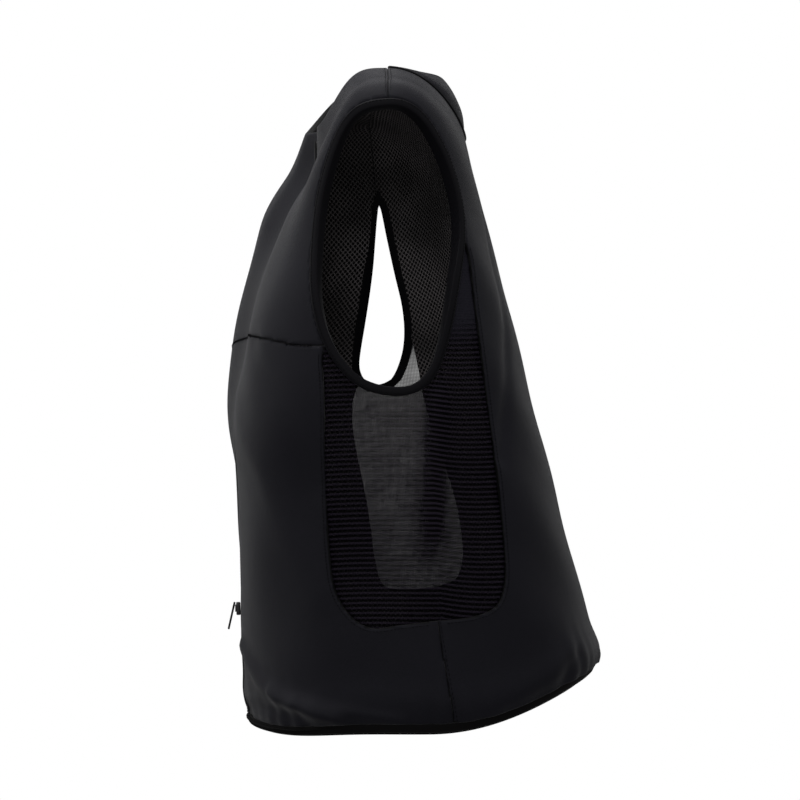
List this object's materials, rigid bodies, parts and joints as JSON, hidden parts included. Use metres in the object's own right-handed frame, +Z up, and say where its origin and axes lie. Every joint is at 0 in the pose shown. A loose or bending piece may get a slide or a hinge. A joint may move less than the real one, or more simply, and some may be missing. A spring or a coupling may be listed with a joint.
{
  "type": "equestrian airbag vest",
  "caption": "Sleeveless black riding vest with padded airbag panels, ladder-mesh sides, bound armholes, a neck roll and an elastic hem.",
  "frame": {"origin": "the shoulder seat: midway between the shoulder seams, at the height of the inner face that rests on the wearer's shoulders", "axes": "+Z up, -Y to the wearer's front, +X to the wearer's left"},
  "size_m": [0.3716, 0.3489, 0.611],
  "materials": {
    "shell": "matte woven stretch shell, black",
    "lining": "black spacer mesh with small open cells",
    "mesh": "black see-through ladder mesh",
    "binding": "black woven tape",
    "elastic": "black ribbed elastic",
    "zip_teeth": "black moulded coil",
    "slider": "black painted slider, satin"
  },
  "bodies": {
    "root": {"back_panel": "shell", "front_panel_left": "shell", "front_panel_right": "shell", "front_yoke_left": "shell", "front_yoke_right": "shell", "collar": "shell", "back_lining": "lining", "front_lining_left": "lining", "front_lining_right": "lining", "side_mesh_left": "mesh", "side_mesh_right": "mesh", "armhole_binding_left": "binding", "armhole_binding_right": "binding", "hem_band": "elastic", "zip_tape_left": "binding", "zip_tape_right": "binding", "zip_chain": "zip_teeth", "zip_slider_low": "slider", "zip_slider_top": "slider", "zip_pull_low": "binding", "zip_pull_top": "binding"}
  },
  "joints": []
}
